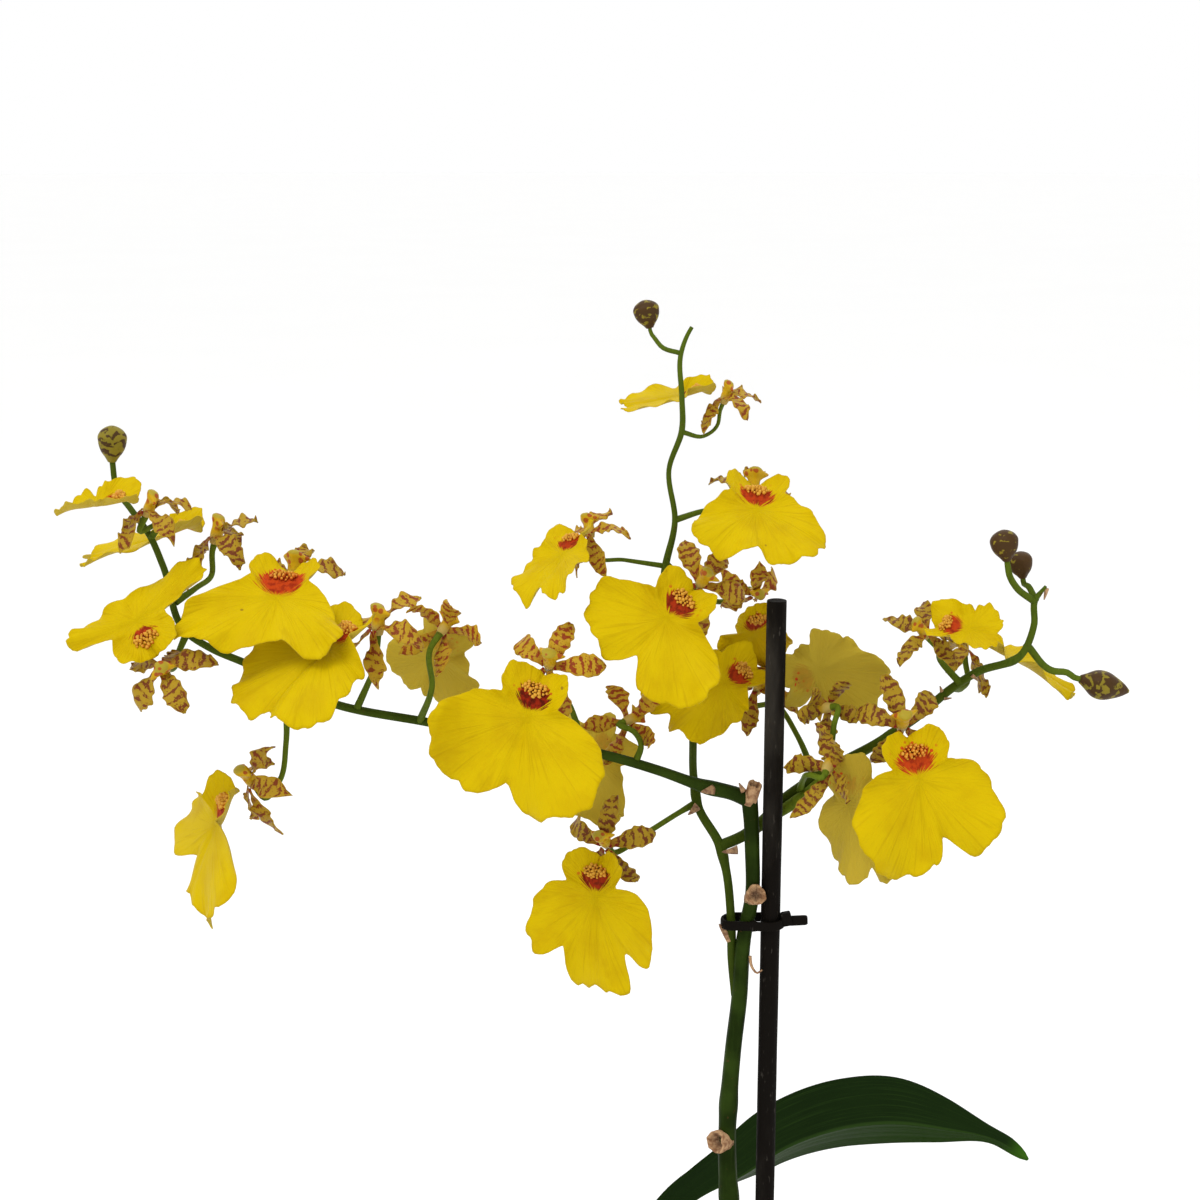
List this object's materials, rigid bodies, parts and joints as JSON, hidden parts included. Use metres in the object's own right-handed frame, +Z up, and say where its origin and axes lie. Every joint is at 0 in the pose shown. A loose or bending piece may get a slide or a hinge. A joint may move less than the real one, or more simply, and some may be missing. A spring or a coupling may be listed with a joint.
{
  "type": "potted orchid",
  "caption": "Potted oncidium orchid: branching staked flower stem with ruffled yellow blooms, buds, strap leaves, bulbs, bark and a round pot.",
  "frame": {"origin": "centre of the pot's flat base, where it meets the surface it stands on", "axes": "+Z up, +X to the right as the picture sees it, -Y towards the viewer of the picture"},
  "size_m": [0.2578, 0.193, 0.4655],
  "materials": {
    "pot": "matt terracotta-coloured",
    "bark": "rough chips",
    "stake": "matt black, dusty",
    "tie": "matt black",
    "stem": "satin living stem",
    "bulb": "satin living bulb",
    "leaf": "satin living leaf",
    "bud": "satin living bud",
    "lip": "soft living petal",
    "tepal": "soft living petal"
  },
  "bodies": {
    "root": {"pot": "pot", "bark_mix": "bark", "stake": "stake", "tie": "tie", "flower_stem": "stem", "pseudobulb_a": "bulb", "pseudobulb_b": "bulb", "pseudobulb_c": "bulb", "leaf_a": "leaf", "leaf_b": "leaf", "leaf_c": "leaf", "leaf_d": "leaf", "leaf_e": "leaf", "bud_a": "bud", "bud_b": "bud", "bud_c": "bud", "bud_d": "bud", "bud_e": "bud", "bloom_01_lip": "lip", "bloom_01_petals": "tepal", "bloom_02_lip": "lip", "bloom_02_petals": "tepal", "bloom_03_lip": "lip", "bloom_03_petals": "tepal", "bloom_04_lip": "lip", "bloom_04_petals": "tepal", "bloom_05_lip": "lip", "bloom_05_petals": "tepal", "bloom_06_lip": "lip", "bloom_06_petals": "tepal", "bloom_07_lip": "lip", "bloom_07_petals": "tepal", "bloom_08_lip": "lip", "bloom_08_petals": "tepal", "bloom_09_lip": "lip", "bloom_09_petals": "tepal", "bloom_10_lip": "lip", "bloom_10_petals": "tepal", "bloom_11_lip": "lip", "bloom_11_petals": "tepal", "bloom_12_lip": "lip", "bloom_12_petals": "tepal", "bloom_13_lip": "lip", "bloom_13_petals": "tepal", "bloom_14_lip": "lip", "bloom_14_petals": "tepal", "bloom_15_lip": "lip", "bloom_15_petals": "tepal", "bloom_16_lip": "lip", "bloom_16_petals": "tepal", "bloom_17_lip": "lip", "bloom_17_petals": "tepal", "bloom_18_lip": "lip", "bloom_18_petals": "tepal", "bloom_19_lip": "lip", "bloom_19_petals": "tepal", "bloom_20_lip": "lip", "bloom_20_petals": "tepal", "bloom_21_lip": "lip", "bloom_21_petals": "tepal"}
  },
  "joints": []
}
